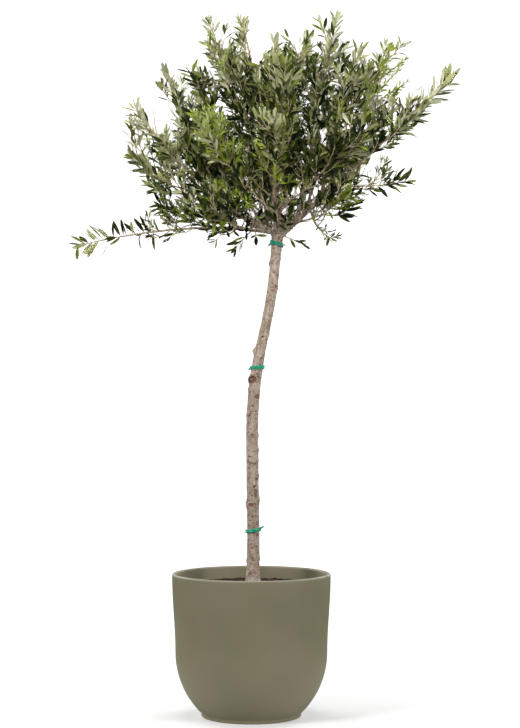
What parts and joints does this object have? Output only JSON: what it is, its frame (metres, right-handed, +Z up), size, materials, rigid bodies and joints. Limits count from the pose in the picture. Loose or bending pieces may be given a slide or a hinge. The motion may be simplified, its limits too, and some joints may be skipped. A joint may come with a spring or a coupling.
{
  "type": "potted olive tree",
  "caption": "Young olive tree trained as a standard: a slender bare stem with plant ties, a round open head of leafy boughs, potted in a round matte planter with a tucked-in foot.",
  "frame": {"origin": "middle of the planter's flat underside, on the surface that it stands on", "axes": "+Z up along the stem, +X to the right and +Y to the back of the tree's front view"},
  "size_m": [0.8536, 0.6425, 1.5707],
  "materials": {
    "planter": "matte",
    "soil": "matte",
    "bark": "matte",
    "tie": "satin",
    "foliage": "satin"
  },
  "bodies": {
    "root": {"planter": "planter", "soil": "soil", "stem": "bark", "tie_low": "tie", "tie_middle": "tie", "tie_high": "tie", "bough_top_middle": "bark", "bough_right_reach": "bark", "bough_long_low_left": "bark", "bough_left": "bark", "bough_front": "bark", "bough_back": "bark", "bough_top_left": "bark", "bough_top_front": "bark", "bough_top_back": "bark", "bough_top_right": "bark", "bough_upper_right": "bark", "bough_inner_right": "bark", "bough_low_right": "bark", "bough_hanging_right": "bark", "bough_upper_left": "bark", "bough_inner_left": "bark", "bough_mid_left": "bark", "bough_low_left": "bark", "bough_low_front_left": "bark", "bough_upper_front": "bark", "bough_front_left": "bark", "bough_front_right": "bark", "bough_upper_back": "bark", "bough_back_left": "bark", "bough_back_right": "bark", "bough_low_back": "bark", "bough_low_front_right": "bark", "foliage_top_middle": "foliage", "foliage_right_reach": "foliage", "foliage_long_low_left": "foliage", "foliage_left": "foliage", "foliage_front": "foliage", "foliage_back": "foliage", "foliage_top_left": "foliage", "foliage_top_front": "foliage", "foliage_top_back": "foliage", "foliage_top_right": "foliage", "foliage_upper_right": "foliage", "foliage_inner_right": "foliage", "foliage_low_right": "foliage", "foliage_hanging_right": "foliage", "foliage_upper_left": "foliage", "foliage_inner_left": "foliage", "foliage_mid_left": "foliage", "foliage_low_left": "foliage", "foliage_low_front_left": "foliage", "foliage_upper_front": "foliage", "foliage_front_left": "foliage", "foliage_front_right": "foliage", "foliage_upper_back": "foliage", "foliage_back_left": "foliage", "foliage_back_right": "foliage", "foliage_low_back": "foliage", "foliage_low_front_right": "foliage"}
  },
  "joints": []
}
